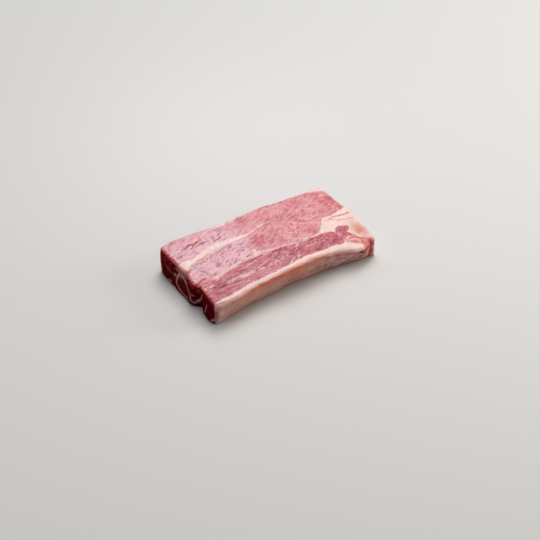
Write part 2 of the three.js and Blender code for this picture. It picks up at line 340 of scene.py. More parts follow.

# The ragged ridges of muscle that stand up beside the cleft and the gaps between them, which are
# painted dark as shade, as (x, y, half width)
cleftRidges = {
    "upper": [(-100.5, -15.6, 0.5), (-96, -14, 0.8), (-91, -12, 0.8), (-87, -10.8, 0.3)],
    "middle": [(-100.5, -21.4, 1.5), (-96.5, -21, 2), (-92, -20, 1.9), (-87.5, -19, 1.4),
               (-83.5, -19.4, 0.5)],
    "lower": [(-99.5, -25.8, 0.8), (-97, -25, 0.8), (-93, -24.6, 0.9), (-88, -23.3, 0.7),
              (-82.1, -20.8, 0.6)],
}
cleftGaps = [
    [(-101.5, -19, 0.8), (-98.1, -18.4, 0.6), (-94.3, -16.6, 0.6), (-90.8, -14.9, 0.5), (-87.1, -13.6, 0)],
    [(-94.5, -22.9, -0.8), (-91.6, -22.3, 0), (-88, -21.6, -0.6)],
]
# The foot of the lowest one, painted with a pale red glow: x, y, radius
cleftGlow = (-98.2, -27.8, 2.6)
# The notches that the gaps cut in the rim of the left end: y, lowest z, depth
rimNotches = [(-18.4, 20, 1.4), (-23.8, 18, 1)]

# Creases, each through a few points, painted dark along their lines as shade
creases = [
    [(-92, 41), (-88, 42), (-86, 40.5)],
    [(-93.5, 33.5), (-90.5, 35.5), (-88, 37.5)],
    [(-62.5, 37.5), (-60.5, 35.5)],
    [(-96.5, 23.5), (-93.5, 25)],
    [(-90, 10.5), (-86, 11)],
    [(-82, 13.5), (-76, 15.5), (-68, 18), (-60, 20.5)],
    [(-76, 3), (-73, 4.5), (-70, 5)],
    [(-62, 4), (-60, 4.5), (-58, 3.5)],
    [(-57, 5), (-54, 6.5), (-51, 7.5)],
    [(-44, 14), (-41, 15), (-36, 16.5)],
    [(-83, 9), (-79, 10), (-73, 10.5)],
    [(-68, 12), (-65, 14.5)],
    [(-67, -1), (-66.5, -3.5), (-65, -5)],
    [(-100.5, -3), (-98.8, -5.5), (-96.8, -8.2), (-94.5, -9)],
    [(-95, 2.5), (-94, 0.5)],
    [(-87, -0.5), (-85, -2.5), (-83, -5.5), (-81, -7.5)],
    [(-56, -5), (-54, -3), (-51, -1)],
    [(-39, 4), (-36, 5.5)],
    [(-59, 10.5), (-56, 13)],
    [(-60.5, 29.5), (-58.5, 31.5)],
    [(4, 20.5), (8, 22), (15, 25)],
    [(-2, -4.5), (2, -2.5), (9, 0.5), (13, -1)],
    [(0, 5.5), (4, 8), (7, 9)],
    [(-96.5, -18), (-92, -16.5), (-87, -15)],
    [(-96, -23.5), (-90, -22.5), (-86, -21)],
    [(-93, -31), (-85, -31.5), (-78, -30)],
    [(-96.5, -35.5), (-84, -34.5), (-70, -34.5), (-57, -37), (-50, -38)],
    [(-97.5, -42), (-90, -41), (-84, -42), (-75, -41), (-68, -40)],
    [(-94.5, -46.5), (-80, -44), (-70, -44)],
    [(-72, -28), (-66, -27)],
    [(-50, -20), (-44, -18.5), (-40, -17)],
    [(-38, -24), (-30, -21), (-12, -16.5), (-5, -15.5)],
    [(-35, -29), (-28, -27), (-15, -23.5)],
    [(-45, -16), (-36, -14)],
    [(-30, -31), (-22, -31)],
    [(-12, -20.5), (-4, -18.5)],
    [(5, -24.5), (12, -30.5), (15, -31.5), (18, -28), (22, -27), (33, -23)],
    [(42.3, 22.8), (48.8, 24.3), (54.5, 24.1)],
    [(-18.5, -5), (-17, -3), (-14, -2)],
    [(0.3, -1), (4.6, 0.7), (8.3, 4)],
    [(9.8, 3.2), (7.8, 0.7), (10.8, -2.4)],
    [(5.2, -25.2), (10, -29.1), (14.6, -32.2)],
    [(-42.7, -12.8), (-37.6, -15.4), (-30.8, -16)],
]
# The strongest ones, as (x, y, half width)
deepCreases = [
    [(-85, 40.5, -0.6), (-80.5, 39, 0.1), (-76.5, 40.5, 0.3), (-72.5, 41.5, 0.3), (-68.5, 40, 0.1),
     (-62.5, 43.5, 0), (-54.5, 45, -0.6)],
    [(-77.5, 34, -0.6), (-73.5, 36, 0.3), (-70.5, 38, -0.4)],
    [(-72, 38, -0.4), (-68.6, 40.2, 0.4), (-64, 42, 0.2), (-60.7, 44.3, -0.5)],
    [(27, 24, -0.8), (31.5, 26.2, 0), (34.5, 24.8, 0), (36.5, 22.6, -0.6)],
    [(39, 21.8, -0.8), (46.3, 23.6, 0.1), (50, 24.5, 0), (54.5, 26.5, -0.6)],
]
# a crease's painted highlight: how far beside it and how wide
creaseSize = {"halfWidth": 0.8, "depth": 0.6, "thinEnd": -0.6, "highlightAway": 1.7, "highlightHalfWidth": 0.7}

# Fine pale lines in the lean, as (x, y, half width)
paleThreads = [
    [(34, 22, 0.1), (40.7, 16.5, 0.4), (47.2, 10, 0.3), (52, 6.7, 0.1)],
    [(52.2, 15.4, 0.1), (60, 12, 0.4), (65, 7, 0.4), (74, 7.5, 0.5)],
    [(65, 27.6, 0.1), (69.9, 28.1, 0.3), (73.2, 25.4, 0.3), (71.5, 20.7, 0.1)],
    [(33.3, 9.3, 0.1), (35.4, 5.4, 0.4), (36.7, 3, 0.2)],
    [(40.7, 10.1, 0.1), (36.7, 3, 0.4), (33.7, -2.6, 0.2)],
    [(30.8, 10.9, 0.1), (26.1, 3.6, 0.4), (29.8, 0.5, 0.3), (34.6, -1, 0.1)],
    [(35.7, 11, 0.4), (36.4, 7, 0.4)],
    [(62, 33, 0), (68, 35, 0.2), (73, 33, 0)],
    [(-33.1, -30.7, 0.1), (-21.6, -26.4, 0.5), (-14.2, -23.1, 0.2)],
    [(-52, -22, 0), (-40, -20.5, 0.3), (-28, -19, 0.1)],
    [(-84, -38, 0), (-70, -38, 0.3), (-60, -39.5, 0)],
    [(31, -10, 0.6), (31.5, -12.5, 0.8)],
]


farOut = -20.0       # stands for any place well outside an area
ribbonStep = 1.5     # length of the straight pieces that a curved ribbon is made of


def insideRibbon(x, y, ribbon):
    # how far inside a ribbon a place is: the half width there less the distance to its middle
    knots = np.array(ribbon, float)
    run = np.concatenate([[0], np.cumsum(np.hypot(*np.diff(knots[:, :2], axis=0).T))])
    at = np.linspace(0, run[-1], max(int(run[-1] / ribbonStep), 2) + 1)
    line = np.stack([smoothLine(np.stack([run, knots[:, n]], axis=1), at) for n in range(3)], axis=1)
    inside = np.full(x.shape, farOut)
    (lowX, lowY), (highX, highY) = knots[:, :2].min(axis=0) + farOut, knots[:, :2].max(axis=0) - farOut
    close = (x > lowX) & (x < highX) & (y > lowY) & (y < highY)
    px, py = x[close], y[close]
    best = np.full(px.shape, farOut)
    for (ax, ay, aw), (bx, by, bw) in zip(line[:-1], line[1:]):
        dx, dy = bx - ax, by - ay
        t = np.clip(((px - ax) * dx + (py - ay) * dy) / (dx * dx + dy * dy + 1e-9), 0, 1)
        away = np.hypot(px - ax - t * dx, py - ay - t * dy)
        best = np.maximum(best, blendTo(aw, bw, t) - away)
    inside[close] = best
    return inside


def insideOutline(x, y, outline):
    # how far inside a closed outline a place is, negative outside it
    corners = np.array(outline, float)
    away = np.full(x.shape, 1e9)
    inside = np.zeros(x.shape, bool)
    for (ax, ay), (bx, by) in zip(corners, np.roll(corners, -1, axis=0)):
        dx, dy = bx - ax, by - ay
        t = np.clip(((x - ax) * dx + (y - ay) * dy) / (dx * dx + dy * dy), 0, 1)
        away = np.minimum(away, np.hypot(x - ax - t * dx, y - ay - t * dy))
        if ay != by:
            inside ^= ((ay > y) != (by > y)) & (x < dx * (y - ay) / dy + ax)
    return np.where(inside, away, -away)


def insideAny(x, y, ribbons):
    return strongest(*(insideRibbon(x, y, ribbon) for ribbon in ribbons))


def onRibbons(x, y, ribbons, fade):
    # 1 on any of the ribbons, fading out beside them
    return bump(np.minimum(insideAny(x, y, ribbons), 0), fade)


def creaseFields(x, y):
    # painted shade along each crease, which fades out at its ends, and a painted highlight on the raised skin
    # beside it
    draw = np.random.default_rng(11)
    ribbons = [(1, ribbon) for ribbon in deepCreases]
    for line in creases:
        ends = (0, len(line) - 1)
        ribbon = [(px, py, creaseSize["thinEnd"] if n in ends else 0) for n, (px, py) in enumerate(line)]
        ribbons.append((draw.uniform(0.6, 1), ribbon))
    dark, rim = np.zeros(x.shape), np.zeros(x.shape)
    for power, ribbon in ribbons:
        inside = insideRibbon(x, y, ribbon)
        dark = np.maximum(dark, power * bump(np.minimum(inside, 0), creaseSize["halfWidth"]))
        rim = np.maximum(rim, power * bump(inside + creaseSize["highlightAway"], creaseSize["highlightHalfWidth"]))
    return dark, rim * (1 - dark)


# What shows on the left end, in y and z: grey membranes and paler strands between the muscles,
# as (y, z, half width)
endMembranes = [
    [(43.5, 23, 0.1), (42.8, 21.4, 0.6), (38.6, 17.2, 0.9), (34.4, 14.6, 0.9), (29.4, 13.6, 0.4)],
    [(24, 16, 1), (22.2, 16.5, 1.6), (18.1, 16.3, 1.3)],
    [(21, 24.5, 1.5), (14, 25.5, 3), (8, 25.5, 3), (2.7, 23.5, 1.4)],
    [(14.1, 24.6, 2), (16.5, 17, 1.9), (17.7, 9.8, 1.4), (13.3, 6.5, 0.8), (4.9, 4.1, 0.6),
     (-4.9, 3.8, 0.4), (-10.6, 4, 0.5)],
    [(9.2, 22, 2), (2.6, 19.6, 1.4), (-4.9, 15, 0.9), (-10.1, 10.4, 0.8), (-12.8, 6.5, 0.8)],
    [(12.5, 23.5, 2), (10.5, 17, 0.6), (10, 14, -0.4)],
    [(-12.8, 6.5, 0.8), (-17, 5.8, 1), (-20.8, 10, 1.1), (-24, 14, 0.8), (-26.2, 16.2, 0.5),
     (-27.5, 20, 0.2)],
    [(34, 2.8, 1), (29.1, 2.7, 1)],
    [(-48.8, 3.2, 1), (-51.9, 6.2, 0.9)],
    [(-52.5, 21, 0.5), (-54.5, 23, 1.2)],
]
endStrands = [
    [(9, 21, 0.2), (2.6, 19, 0.8), (-4.9, 14.6, 0.8), (-10.1, 10, 0.7), (-12.8, 6.2, 0.7), (-17, 5.4, 0.7),
     (-20.8, 9.6, 0.8), (-24, 14, 0.5), (-26.2, 16.2, 0.5), (-28, 22, 0.2)],
    [(16, 21, 0.3), (17.2, 15, 0.9), (18, 10, 0.8), (14, 6.3, 0.6), (5, 4, 0.4), (-4.9, 3.8, 0.2)],
    [(24, 15.5, 0.2), (21.5, 16.5, 0.7), (18.5, 16, 0.3)],
    [(17, 17, 0.2), (14, 20.5, 0.7), (10, 21.5, 0.7), (6, 20.5, 0.3)],
    [(-35.7, 5.7, 0.1), (-38.7, 11.9, 0.6), (-40.1, 18.1, 0.1)],
    [(-16.6, 15.3, 0.2), (-12.4, 14.4, 0.2)],
    [(33.5, 2.8, 0.4), (29.5, 2.7, 0.5)],
    [(-49, 3.2, 0.5), (-51.5, 5.5, 0.4)],
]

# The bundles of muscle between them, each a soft swelling: y, z, radius
endBundles = [(48, 15, 4), (38, 24, 3.5), (28, 21, 4), (33, 8, 3), (24, 8, 3.5), (10, 15, 4.5), (4, 8, 4),
              (-8, 21, 5), (-15, 15, 4), (-34, 19, 5), (-44, 15, 4.5), (-40, 7, 3.5)]
# How far the left rim, for places along y, and the near rim, for places along x, stand out beyond
# the solid's
endRimOut = [(-18, 0), (-13, 1.1), (-6, 1.1), (2, 0.2), (8, 0), (16, 1), (26, 2.6), (38, 3.6), (46, 2.6),
             (56, 0.4)]
nearRimOut = [(-102, 1.2), (-90, 2), (-60, 1.6), (-25, 1.1), (10, 0.6), (40, 1), (60, 1.8), (72, 2.5),
              (82, 1.3), (88, 0)]
# Where light glows through the rim of the left end: from y, to y, strength
endGlow = [(30, 52, 0.9), (-22, -3, 1), (-53, -27, 0.9)]

# On the near side, as (x, z, half width): folds of the fat, painted dark as shade, the folds and pale
# curls at the near right corner, its slot, and the curl of fat at the near left corner; the corner's
# folds and slot are painted dark as shade too
sideFolds = [
    [(50, 16, 0.2), (60, 14, 0.5), (68, 13.5, 0.3)],
    [(60, 9, 0.3), (67, 7.5, 0.7), (72, 7.5, 0.4)],
    [(66, 12, 0.3), (72, 11.5, 0.8), (78, 12.5, 0.5), (84, 11, 0.2)],
    [(38, 12, 0.2), (44, 10.5, 0.4), (50, 10.5, 0.2)],
    [(40, 5, 0.3), (45, 4, 0.7), (50, 4.5, 0.2)],
    [(76, 7, 0.3), (80, 6.5, 0.6), (85, 8, 0.2)],
    [(-8, 13, 0), (2, 12, 0.8), (14, 13, 0.4), (28, 12.5, 0.4), (34, 13, 0.1)],
]
cornerFolds = [
    [(80, 20.4, 0.7), (81.6, 18.8, 1.5), (83.4, 16.4, 1.3), (85.2, 14.3, 0.5)],
    [(87.2, 20.7, 0.3), (87.5, 17.8, 0.3)],
]
cornerCurls = [
    [(91, 17, 0.1), (90.3, 14, 0.5), (90.6, 10, 0.5), (91.6, 6, 0.2)],
    [(89.2, 8.5, 0.6), (92.4, 4.1, 0.8), (95.6, 1.5, 0.5)],
    [(101.5, 28, 0.5), (101.9, 20.8, 0.6), (102, 11.3, 0.6), (101.5, 4, 0.4)],
]
# the slot at the near right corner, painted dark as shade
cornerSlot = [(97.6, 25.5, 0.3), (97.2, 21.8, 0.5), (97.2, 17, 0.6), (97, 12, 0.9), (96.3, 8, 1.3),
              (95.2, 4.5, 1.4), (93.5, 2.5, 0.7)]
leftCurl = [(-98.6, 18.2, 0.6), (-96.3, 16.8, 1), (-92.9, 14.6, 1.1), (-93.6, 12.3, 0.7)]

# The far side and the underside, which the meat lies on: seams as (x, z, half width), sheets of
# fat on the underside as (x, y, half width), and the muscle that shows in the fat of the right end,
# as (y, z)
farSeams = [
    [(-66, 28, 0.6), (-50, 25.5, 1.2), (-25, 22, 1.7), (5, 19.5, 1.4), (35, 18.5, 0.8), (60, 16.5, 0.2)],
    [(-102, 10, 0.8), (-80, 8, 1.2), (-58, 4.5, 0.8), (-42, 1, 0.4)],
    [(108, 15, 1.6), (92, 12.5, 1.3), (70, 7.5, 0.9), (48, 5.5, 0.3)],
    [(-25, 21, 0.4), (-18, 14, 0.6), (-4, 8, 0.4), (8, 1, 0.5)],
    [(64, 27, 0.6), (82, 26.5, 1.6), (108, 25, 2.4)],
]
undersideFat = [
    [(-104, -42, 9), (-60, -44, 11), (-10, -40, 10), (40, -38, 12), (80, -34, 14), (106, -30, 16)],
    [(-100, 30, 2), (-60, 24, 3.2), (-20, 21, 2.6), (20, 27, 1.6), (50, 36, 0.8)],
    [(-70, -14, 0.6), (-35, -6, 1.8), (5, -3, 1.4), (45, -8, 2.2), (75, -14, 4)],
    [(10, 52, 1.5), (50, 50, 3), (104, 46, 4)],
]
rightLean = [(-48, 4), (-44, 7.5), (-33, 9), (-24, 12.5), (-12, 13), (-4, 16.5), (10, 17.5), (14, 12),
             (6, 7), (-6, 8), (-16, 4.5), (-30, 5), (-40, 2.5)]

# How deep the lower muscle's colour is along it, the angle of its fibres, its darker patches as
# x, y, half length and half width, and its darker streaks as (x, y, half width)
bandDepth = [(-100, 0.75), (-70, 0.7), (-50, 0.52), (-20, 0.52), (0, 0.7), (25, 0.75), (45, 1), (90, 1)]
bandAngle = [(-100, 0), (-70, 3), (-45, 10), (-20, 14), (20, 14), (50, 18), (90, 22)]
bandPatches = [(44, -20.5, 5, 3), (46, -36, 5, 4), (27, -34, 5, 4), (78, -24, 7, 6), (-80, -34, 16, 3),
               (60, -30, 12, 6)]
bandStreaks = [
    [(-46, -13, 0.2), (-37.6, -14.8, 1.2), (-28, -15, 1.4), (-17.9, -14, 0.6)],
    [(-13.1, -20.5, 0.3), (-8, -18.5, 1), (-2.5, -16, 1.4), (5.2, -16.4, 1.7), (13, -19, 1)],
    [(-66, -25, 0.2), (-55, -24, 1), (-44, -23.5, 0.3)],
    [(-92, -38, 0.3), (-80, -38.5, 1), (-66, -37.5, 0.3)],
]
# Rosier patches of the upper right muscle: x, y, half length, half width, strength
rosePatches = [(-8, 8, 15, 9, 1), (98, 27, 10, 15, 1), (89, 47, 9, 3, 0.8), (62, 48, 7, 4, 0.6),
               (53, 11, 5, 4, 0.6), (29, 6, 9, 6, 0.75), (40, 0.5, 5, 5, 0.5), (52, -3, 8, 5, 0.7),
               (59, 38, 7, 4, 0.5), (20, 44, 9, 5, 0.4), (-2, 38, 7, 4, 0.5), (88, 16, 6, 4, 0.5),
               (12, 16, 8, 5, 0.4)]
# The peach fat near the right end: x, y, half length, half width
peachArea = (97, -30, 7, 13)
# How much sharper the near rim is than its rounding, and how peach the strip of fat along it is
rimSharpness = [(-100, -1), (-60, -0.6), (-25, 0.4), (20, 0.7), (40, 0.3), (60, 0), (72, 0.2), (90, -0.3)]
stripWarmth = [(-95, 0.2), (-50, 0.3), (-30, 0.5), (-12, 0.95), (10, 0.85), (28, 0.75), (45, 0.5),
               (62, 0.35), (85, 0.3), (95, 0)]
# Warm fine folds in the right fat: strength and (x, y, half width)
fatLines = [
    (0.9, [(78.5, 1, 0.1), (83.9, 3.2, 0.3), (92.5, 1.2, 0.4), (103.5, 0.2, 0.5), (107, 0, 0.5)]),
    (0.5, [(72.6, 1.2, 0.2), (79, -0.7, 0.4), (84, -2, 0.2)]),
    (1.0, [(92, -29, 0.1), (92.9, -33.3, 0.4), (92.7, -35.8, 0.2)]),
    (0.5, [(84, -5, 0.2), (92, -7, 0.5), (105, -9, 0.4)]),
]


def sideShares(outward):
    # how much a point faces each way, from 0 to 1
    squared = outward ** 2
    share = {}
    for axis, names in enumerate((("left", "right"), ("near", "far"), ("under", "top"))):
        for sign, name in zip((-1, 1), names):
            share[name] = np.where(outward[:, axis] * sign > 0, squared[:, axis], 0)
    return share


def acrossBand(x, y):
    # the place across the lower muscle's fibres, whose angle changes along it
    at = np.linspace(-115, 115, 231)
    slope = np.tan(np.radians(smoothLine(bandAngle, at)))
    return y - np.interp(x, at, np.cumsum(slope))


def readSkin(place, outward):
    # what the fields are worked out from: how much a point faces each way, the cut side that it
    # is on, with firmer borders, and the marks that more than one field shows
    x, y, z = place.T
    share = sideShares(outward)
    onLeft = smoothStep(share["left"], 0.5, 0.97)
    uneven = 0.12 * softNoise(x / 6 + 3, z / 5, 51) + 0.1 * softNoise(x / 2.4, z / 3, 59)
    lower = 0.4 * between(x, 45, 80, 15) + 0.25 * smoothStep(x, -30, -80)
    facing = share["near"] + share["left"] * smoothStep(share["near"], 0.02, 0.1)
    onNear = smoothStep(facing + uneven - lower, 0.22, 0.72) * (1 - onLeft)
    onRight = smoothStep(share["right"], 0.35, 0.75)
    flapReach = blendTo(insideOutline(x, y, flapOutline), insideOutline(x, z, cornerOutline), onNear)
    flapReach = blendTo(flapReach, -10, onRight)
    edgeTo = -98.3 + 0.9 * softNoise(z / 3.4, 0.3 + 0 * z, 55)
    ridges = {name: onRibbons(x, y, [line], 0.7) * (1 - onLeft) for name, line in cleftRidges.items()}
    return {
        "share": share,
        "on": {"left": onLeft, "near": onNear, "right": onRight,
               "far": smoothStep(share["far"], 0.35, 0.75)},
        "depth": np.maximum(topHeight(x, y) - z, 0),
        "wander": softNoise(x / 9, y / 9, 5),
        "aboveSeam": smoothStep(y, -18, -12),
        "flapReach": flapReach,
        "folded": smoothStep(flapReach, -1.5, 0.5),
        "ridges": ridges,
        # the gaps between the cleft's ridges, painted dark as shade
        "gapShade": onRibbons(x, y, cleftGaps, 0.5) * (1 - onLeft),
        "intoCleft": smoothStep(x, -97, -91),
        # the meat shows a little way round the upright edge of the fat cover, dark with the left end's
        # maroon, which is partly painted shade
        "roundEdge": onNear * smoothStep(x, edgeTo + 1, edgeTo - 1) * between(z, 5, 17, 3),
        "endBrown": onNear * smoothStep(x, -94, -98) * between(z, 8, 21, 4),
        # the folds at the near right corner, painted dark as shade
        "cornerFoldShade": onNear * onRibbons(x, z, cornerFolds, 0.8),
        "farEdge": onLeft * smoothStep(y, 45 + 0.2 * z, 48 + 0.2 * z),
    }


def insideFat(place, skin):
    # how far inside the fat each point is, below 0 in the lean
    x, y, z = place.T
    on, depth = skin["on"], skin["depth"]
    # the seams run down through the slab as sheets that lean and wander a little
    drift = 3 * softNoise(x / 34 + 5, depth / 11, 21) * smoothStep(depth, 2, 12)
    px = x * (1 - 0.003 * depth)
    py = y + drift - 0.12 * depth
    ragged = 0.7 * softNoise(px / 5, py / 9, 52) + 0.4 * softNoise(px / 2.2, py / 5, 53)
    seams = strongest(*(crispness.get(name, 1) * insideRibbon(px, py, ribbon)
                        for name, ribbon in fatRibbons.items()))
    seams = seams * blendTo(0.5, 1, smoothStep(px, -99, -84))
    cover = np.where(px < 56, smoothLine(coverEdge, px) - py + ragged, farOut)
    rightEdge = smoothLine(rightFatEdge, px) - 0.35 * on["right"] * depth
    outsideLobe = -insideOutline(px, py, lobeOutline)
    rightFat = np.where(px > 44, np.minimum(rightEdge - py + ragged, outsideLobe), farOut)
    fat = strongest(seams, crispness["cover"] * cover, crispness["cover"] * rightFat)

    # then side by side round the slab
    fat = blendTo(fat, insideAny(y, z, endMembranes), on["left"])
    fat = blendTo(fat, 1.5 * insideAny(x, z + ragged, farSeams), on["far"] * (1 - on["right"]))
    leanBand = 1.5 * insideOutline(y + 2 * ragged, z + 0.8 * ragged, rightLean)
    fat = blendTo(fat, np.minimum(fat, -leanBand), on["right"])
    underFat = 1.3 * insideAny(x, y + 2 * ragged, undersideFat)
    fat = blendTo(fat, underFat, smoothStep(skin["share"]["under"], 0.3, 0.8))
    fat = blendTo(fat, 6, on["near"])
    fat = blendTo(fat, -2, skin["roundEdge"])
    return np.minimum(fat, 0.4 - 1.5 * skin["flapReach"])


def leanTones(place, skin):
    # how strong each tone of the lean is
    x, y, z = place.T
    share, on, depth = skin["share"], skin["on"], skin["depth"]
    wander, aboveSeam, folded = skin["wander"], skin["aboveSeam"], skin["folded"]
    # the upper left muscles: a lilac tone, partly their own and partly a painted cool sheen
    lilacAndSheen = aboveSeam * (1 - smoothStep(x + 5 * wander, -30, -8)) * (1 - 0.4 * smoothStep(y, 40, 50))
    rose = aboveSeam * strongest(*(
        power * bump(x - cx + 3 * wander, along) * bump(y - cy - 2 * wander, across)
        for cx, cy, along, across, power in rosePatches))

    band = 1 - aboveSeam
    patches = strongest(*(1.1 * bump(x - cx, along) * bump(y - cy, across)
                          for cx, cy, along, across in bandPatches))
    deep = strongest(band * smoothLine(bandDepth, x), band * np.minimum(patches, 1),
                     onRibbons(x, y, bandStreaks, 1.2))
    paler = smoothStep(softNoise(x / 8 + 2, acrossBand(x, y) / 3.4, 61), 0.1, 0.7)
    deep = strongest(
        deep * (1 - 0.3 * paler),
        0.8 * np.maximum(on["right"], on["far"]) * smoothStep(depth, 1, 6),
        skin["roundEdge"],
    ) * (1 - folded)
    deep = strongest(
        deep,
        # the meat reddens where the top turns over to the left end
        smoothStep(share["left"], 0.04, 0.12) * smoothStep(depth, 0.1, 0.5),
        0.5 * skin["ridges"]["middle"],
    )

    glowX, glowY, glowRadius = cleftGlow
    emberAndGlow = strongest(
        np.minimum(1.8 * folded, 1),
        0.4 * skin["ridges"]["middle"],
        0.25 * skin["ridges"]["lower"],
        0.8 * bump(np.hypot(x - glowX, y - glowY), glowRadius) * (1 - on["left"]),
        0.4 * on["left"] * bump(y + 21.3, 1.8) * smoothStep(z, 19, 27),      # the cleft's lip
        # a painted glow where the top turns over to the left end
        0.4 * smoothStep(share["left"], 0.06, 0.5) * smoothStep(depth + 0.6 * wander, 3.6, 0.8),
        0.06 * band * smoothStep(x, 20, 50) * share["top"],
        0.15 * skin["farEdge"],
    ) * (1 - 0.9 * skin["cornerFoldShade"])
    endLight = strongest(*(power * between(y, low, high, 3) for low, high, power in endGlow))
    # a painted glow through the left end's rim, and painted shade in the cleft's gaps, the corner's slot,
    # toward the flap's foot and along its upper edge
    redGlowAndShade = strongest(
        endLight * on["left"] * smoothStep(depth + 1.5 * wander, 7, 2),
        0.4 * skin["farEdge"],
        skin["gapShade"] * blendTo(0.5, 0.15, skin["intoCleft"]),
        on["near"] * onRibbons(x, z, [cornerSlot], 0.9),
        share["top"] * onRibbons(x, y, [flapSlot], 0.6),
        # painted shade toward the flap's foot
        0.65 * on["near"] * folded * smoothStep(z, 24, 18.5),                # toward the flap's foot
        0.65 * on["near"] * folded * between(x, 97.5, 101.2, 0.7),
        0.6 * share["top"] * folded * onRibbons(x, y, [flapTop], 0.9),
    )
    return {"lilacAndSheen": lilacAndSheen, "rose": rose, "deep": deep, "emberAndGlow": emberAndGlow, "redGlowAndShade": redGlowAndShade}


def fatTones(place, skin):
    # how strong the peach and the tan in the fat are
    x, y, z = place.T
    share, on, depth = skin["share"], skin["on"], skin["depth"]
    peachX, peachY, along, across = peachArea
    rim = smoothLine(sides["near"]["rim"], x / halfLength) + smoothLine(nearRimOut, x)
    inStrip = y + halfWidth + rim + 1.2 * softNoise(x / 7, y / 3, 56)
    strip = strongest(
        smoothLine(stripWarmth, x) * smoothStep(inStrip, 5.5, 2),
        smoothStep(inStrip, 3, 0.8) * smoothStep(x, 84, 70) * blendTo(0.55, 0.9, smoothStep(x, -60, -25)),
    )
    peach = strongest(
        bump(np.hypot((x - peachX) / along, (y - peachY) / across), 1.1),
        strip * (1 - on["near"]) * (1 - on["left"]),
    )
    # a brown line under the near rim, partly the fat's own tan and partly painted shade, and tan where the
    # top turns over to the left end
    tanDepth = 2.4 + 1.4 * softNoise(x / 9, 0.5 + 0 * x, 54) + 1.6 * smoothStep(x, 35, 65)
    tanWide = blendTo(3.4, 2.2, smoothStep(x, 20, 60))
    underRim = bump(depth - tanDepth, tanWide) * smoothStep(depth, 0.2, 1.4) * between(x, -50, 80, 30)
    uneven = blendTo(1.1, 0.6, smoothStep(x, 5, 40)) * (0.85 + 0.3 * softNoise(x / 6, z / 3, 57))
    turning = smoothStep(share["left"], 0.04, 0.2) * (1 - smoothStep(share["left"], 0.6, 0.95))
    rimTanAndShade = strongest(
        on["near"] * underRim * uneven,
        0.8 * on["near"] * bump(x - 2, 12) * bump(z - 22, 7),
        0.3 * skin["endBrown"],
        0.6 * turning * (1 - on["near"]),
    )
    return {"peach": peach, "rimTanAndShade": rimTanAndShade}


def meatFields(place, skin):
    # what every point of the skin carries: how far inside the fat it is, and how strong
    # each tone and crease is there
    x, y, z = place.T
    share, on = skin["share"], skin["on"]
    fat = insideFat(place, skin)
    fields = leanTones(place, skin) | fatTones(place, skin)
    creaseLineShade, creaseHighlight = creaseFields(x, y)
    # painted shade under the near rim toward the right
    underRim = bump(skin["depth"] - 3.4, 1.5) * between(x, 45, 86, 14)
    warmLines = share["top"] * strongest(*(power * onRibbons(x, y, [line], 0.7) for power, line in fatLines))
    fields["peach"] = strongest(fields["peach"], warmLines)
    # the crease field: painted shade along the creases, in the cleft's gaps, in the side's folds and under
    # the near rim; it also darkens the near left corner and the warm lines in the fat
    fields["creaseShade"] = strongest(
        creaseLineShade * share["top"] * (1 - 0.8 * smoothStep(fat, -0.4, 0.6)),
        skin["gapShade"] * blendTo(0.7, 0.35, skin["intoCleft"]),
        0.65 * on["near"] * onRibbons(x, z, sideFolds, 0.9),
        0.45 * on["near"] * underRim,
        0.55 * skin["endBrown"],
        0.3 * warmLines,
    )
    strand = onRibbons(y, z, endStrands, 0.6) * (0.75 + 0.45 * softNoise(y / 3, z / 3, 58))
    curl = np.maximum(onRibbons(x, z, cornerCurls, 0.6), onRibbons(x, z, [leftCurl], 0.5))
    fields["paleLineAndHighlight"] = strongest(
        # a painted highlight on the skin beside the creases; the rest are pale lines and strands of the meat
        # itself
        0.45 * creaseHighlight * share["top"] * (0.2 + 0.8 * fields["lilacAndSheen"]),
        0.26 * strand * on["left"],
        0.5 * curl * on["near"],
        0.55 * onRibbons(x, y, paleThreads, 0.5) * share["top"],
        0.4 * skin["ridges"]["upper"],
        0.35 * skin["ridges"]["lower"],
        0.6 * onRibbons(x, y, flapSlivers, 0.5) * share["top"],
    )
    # where the left end's maroon, partly painted shade, is laid: the end, the meat round the cover's edge,
    # the corner's folds and the cleft's gaps
    fields["endCut"] = strongest(on["left"], 0.55 * skin["roundEdge"], 0.9 * skin["cornerFoldShade"],
                                 0.9 * skin["gapShade"] * smoothStep(x, -86, -95))
    fields["nearSide"] = on["near"] * (1 - 0.35 * smoothStep(x, -78, -95))
    for name in ("deep", "emberAndGlow", "redGlowAndShade", "peach", "rimTanAndShade"):
        fields[name] = np.clip(fields[name], 0, 1)
    fields["fatReach"] = np.clip(blendTo(fat, -4, skin["cornerFoldShade"]), -8, 8)
    fields["acrossBand"] = acrossBand(x, y) * mm
    return fields


# The lip in which the cleft's middle ridge ends at the rim
cleftLip = {"y": -21.6, "halfWidth": 2, "out": 2}


def pushRims(place):
    # the left rim, with the cleft's lip in it, and the near rim go out to their real places
    x, y, z = place.T
    toLeft = smoothLine(endRimOut, y) * smoothStep(z, 9, 26) * smoothStep(x, -55, -95)
    lip = cleftLip["out"] * bump(y - cleftLip["y"], cleftLip["halfWidth"])
    toLeft = toLeft + lip * smoothStep(z, 19, 27) * smoothStep(x, -88, -98)
    toNear = smoothLine(nearRimOut, x) * smoothStep(z, 11, 25) * smoothStep(y, -36, -50)
    return place - np.stack([toLeft, toNear, 0 * z], axis=1)


